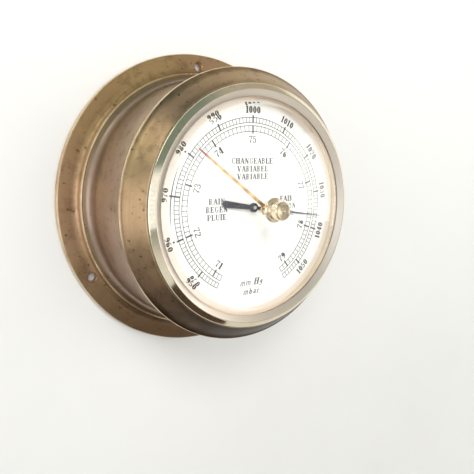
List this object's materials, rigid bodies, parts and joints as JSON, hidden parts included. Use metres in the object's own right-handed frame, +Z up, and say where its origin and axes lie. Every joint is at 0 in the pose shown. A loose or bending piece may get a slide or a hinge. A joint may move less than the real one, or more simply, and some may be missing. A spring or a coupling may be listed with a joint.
{
  "type": "ship barometer",
  "caption": "Round aneroid barometer in a flanged brass case, with a domed glass, a pressure hand driven by a corrugated capsule, and a set hand turned by a knob.",
  "frame": {"origin": "centre of the rear face, where the case meets the wall", "axes": "+Z up, +X to the right for a reader facing the dial, +Y into the wall; the dial faces -Y"},
  "size_m": [0.15, 0.073, 0.15],
  "materials": {
    "aged_brass": "aged, brown patina, satin",
    "polished_brass": "polished, pale",
    "plain_brass": "machined, satin",
    "gold_brass": "lacquered, polished",
    "steel": "machined",
    "nickel_silver": "pressed sheet, bright",
    "blued_steel": "blued, satin",
    "dial_white": "matt white enamel with black print",
    "glass_clear": "clear, polished",
    "black_rubber": "matt",
    "fibre": "matt fibre washer"
  },
  "bodies": {
    "case": {"anchor_screw_1": "steel", "anchor_screw_2": "steel", "back_cover": "plain_brass", "base_plate": "plain_brass", "bezel_ring": "polished_brass", "bridge_nut_lower": "steel", "bridge_nut_upper": "steel", "bridge_spacer_lower": "plain_brass", "bridge_spacer_upper": "plain_brass", "capsule": "nickel_silver", "capsule_nut": "steel", "case_shell": "aged_brass", "cover_screw_1": "plain_brass", "cover_screw_2": "plain_brass", "cover_screw_3": "plain_brass", "dial_plate": "dial_white", "front_bridge": "plain_brass", "front_ring": "aged_brass", "glass": "glass_clear", "glass_gasket": "black_rubber", "hairspring": "blued_steel", "hairspring_stud": "plain_brass", "movement_screw_1": "steel", "movement_screw_2": "steel", "movement_screw_3": "steel", "movement_screw_4": "steel", "pillar_lower": "plain_brass", "pillar_upper": "plain_brass", "post_screw_lower": "steel", "post_screw_upper": "steel", "rear_bridge": "plain_brass", "shaft_post_lower": "plain_brass", "shaft_post_upper": "plain_brass", "spacer_ring": "polished_brass", "spring_anchor": "plain_brass", "standoff_1": "plain_brass", "standoff_2": "plain_brass", "standoff_3": "plain_brass", "standoff_4": "plain_brass"},
    "hand_arbor": {"pointer_arbor": "steel", "pressure_hand": "blued_steel"},
    "chain_run": {"chain": "steel"},
    "rocker": {"rocking_shaft": "steel"},
    "link": {"link_rod": "steel"},
    "spring_lever": {"main_spring": "steel", "stem_collar": "plain_brass", "main_lever": "steel", "lever_screw": "steel"},
    "set_assembly": {"set_knob": "gold_brass", "knob_washer": "fibre", "set_shaft": "plain_brass", "spring_washer": "steel", "set_boss": "gold_brass", "set_hand": "gold_brass", "shaft_nut": "plain_brass"},
    "adjuster": {"adjusting_screw": "plain_brass"}
  },
  "joints": [
    {"name": "pressure_hand_turn", "type": "hinge", "parent": "case", "child": "hand_arbor", "pos_m": [0, -0.04, 0], "axis": [0, 1, 0], "range_deg": [-249.3, 53.1], "stiffness_Nm_per_rad": 0.002},
    {"name": "chain_pull", "type": "slide", "parent": "case", "child": "chain_run", "axis": [1, 0, 0], "range_m": [-0.0016, 0.0071]},
    {"name": "rocking_shaft_turn", "type": "hinge", "parent": "case", "child": "rocker", "pos_m": [0.033, -0.022, 0], "axis": [0, 0, 1], "range_deg": [-5.5, 25.2]},
    {"name": "link_lift", "type": "slide", "parent": "case", "child": "link", "axis": [0, 1, 0], "range_m": [-0.0014, 0.0003]},
    {"name": "spring_flex", "type": "hinge", "parent": "case", "child": "spring_lever", "pos_m": [-0.027, -0.0097, 0], "axis": [0, 0, 1], "range_deg": [-1.4, 0.3]},
    {"name": "set_hand_turn", "type": "hinge", "parent": "case", "child": "set_assembly", "pos_m": [0, -0.066, 0], "axis": [0, 1, 0], "continuous": true},
    {"name": "adjusting_screw_turn", "type": "hinge", "parent": "case", "child": "adjuster", "pos_m": [-0.036, -0.005, 0], "axis": [0, 1, 0], "range_deg": [-360, 360]}
  ],
  "couplings": [
    {"joint": "chain_pull", "follows": "pressure_hand_turn", "m_per_rad": -0.0016},
    {"joint": "rocking_shaft_turn", "follows": "pressure_hand_turn", "ratio": -0.1},
    {"joint": "link_lift", "follows": "pressure_hand_turn", "m_per_rad": 0.0003},
    {"joint": "spring_flex", "follows": "pressure_hand_turn", "ratio": 0.0052}
  ]
}
